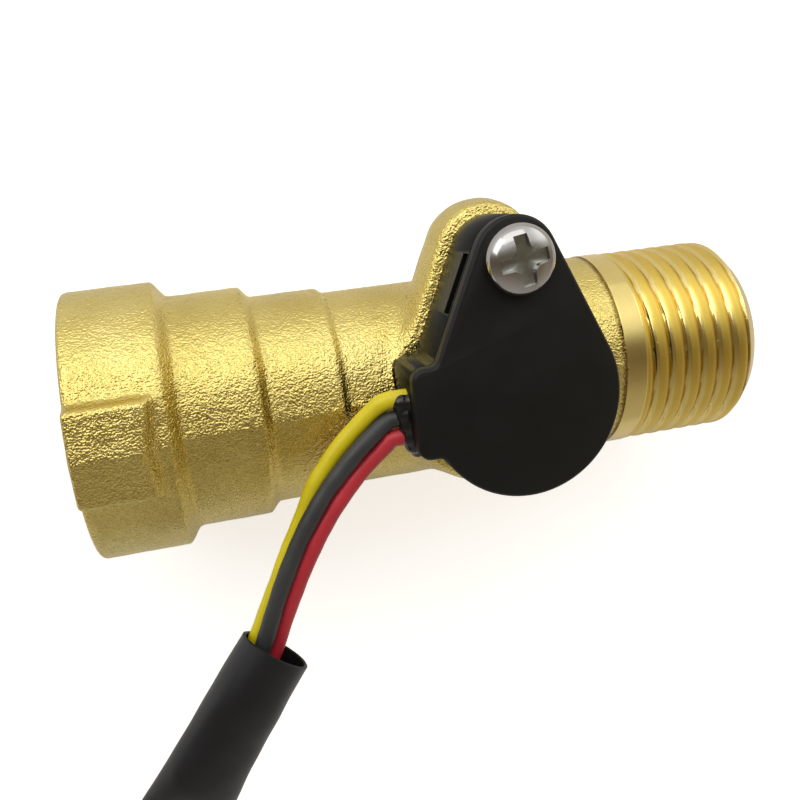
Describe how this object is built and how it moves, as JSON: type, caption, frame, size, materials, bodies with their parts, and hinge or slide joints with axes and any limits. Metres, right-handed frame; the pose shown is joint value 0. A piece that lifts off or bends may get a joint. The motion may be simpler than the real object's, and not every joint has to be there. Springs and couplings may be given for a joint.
{
  "type": "water flow sensor",
  "caption": "Cast brass water flow sensor with a female inlet, male outlet thread, turbine rotor, black Hall sensor case and a three-wire sleeved tail with connector.",
  "frame": {"origin": "centre of the inlet face, on the pipe axis", "axes": "+X along the pipe axis from the female inlet to the male outlet, +Z from the pipe axis out through the sensor case, +Y towards the case's fixing screw"},
  "size_m": [0.0954, 0.1442, 0.0347],
  "materials": {
    "brass": "sand-cast and machined, satin",
    "case_black": "gloss sides, satin face",
    "pcb_green": "solder mask",
    "chip_black": "matt",
    "solder": "bright",
    "epoxy": "gloss",
    "screw_nickel": "nickel plated, bright",
    "sealant_black": "gloss",
    "stainless": "ground",
    "pom_white": "moulded",
    "ferrite": "ground",
    "bush_plastic": "moulded",
    "pvc_yellow": "gloss",
    "pvc_black": "gloss",
    "pvc_red": "gloss",
    "sleeve_black": "soft, satin",
    "nylon_white": "moulded",
    "tinned": "tin plated"
  },
  "bodies": {
    "housing": {"valve_body": "brass", "sensor_case": "case_black", "case_cover": "case_black", "hall_board": "pcb_green", "hall_element": "chip_black", "board_parts": "solder", "potting": "epoxy", "fixing_screw": "screw_nickel", "wire_sealant": "sealant_black", "retaining_ring": "stainless", "flow_guide": "pom_white", "rotor_shaft": "stainless", "thrust_washer": "bush_plastic", "rear_support": "pom_white", "wire_yellow": "pvc_yellow", "wire_black": "pvc_black", "wire_red": "pvc_red", "cable_sleeve": "sleeve_black", "connector_leads": "pvc_black", "connector_housing": "nylon_white", "connector_contacts": "tinned"},
    "rotor": {"rotor": "pom_white", "magnet_ring": "ferrite", "front_bush": "bush_plastic", "rear_bush": "bush_plastic"}
  },
  "joints": [
    {"name": "rotor_spin", "type": "hinge", "parent": "housing", "child": "rotor", "pos_m": [0.0404, 0, 0], "axis": [1, 0, 0], "continuous": true}
  ]
}
